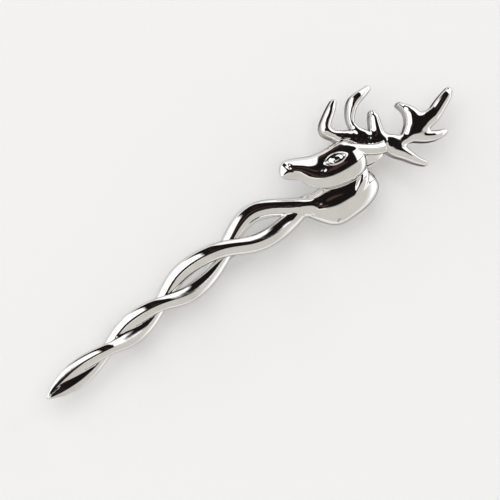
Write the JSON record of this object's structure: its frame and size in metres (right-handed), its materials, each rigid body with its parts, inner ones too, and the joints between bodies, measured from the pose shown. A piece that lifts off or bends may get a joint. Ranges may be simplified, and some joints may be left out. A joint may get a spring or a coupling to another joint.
{
  "type": "stag kilt pin",
  "caption": "Polished cast kilt pin: twisted strands growing into a stag's neck, head and branched antlers, with a hinged pin stem and a turning safety catch on its back.",
  "frame": {"origin": "on the surface that the pin lies on, under the middle of its bounding box", "axes": "+X along the shaft from the leaf tip to the antlers, +Y towards the side of the nose, +Z out of the front"},
  "size_m": [0.108, 0.0224, 0.0136],
  "materials": {
    "bright_plate": "mirror-polished rhodium-coloured plate over a zinc casting",
    "pin_steel": "bright drawn steel with fine lengthwise draw marks",
    "catch_plate": "turned and plated, slightly duller than the casting"
  },
  "bodies": {
    "casting": {"cast_body": "bright_plate", "hinge_rivet": "pin_steel"},
    "stem": {"pin_stem": "pin_steel"},
    "roller": {"catch_roller": "catch_plate"}
  },
  "joints": [
    {"name": "pin_hinge", "type": "hinge", "parent": "casting", "child": "stem", "pos_m": [0.03193, -0.00261, 0.0017], "axis": [0.0635, -0.998, 0], "range_deg": [0, 95]},
    {"name": "catch_roll", "type": "hinge", "parent": "casting", "child": "roller", "pos_m": [-0.02955, -0.00652, 0.0017], "axis": [0.998, 0.0635, 0], "range_deg": [0, 150]}
  ]
}
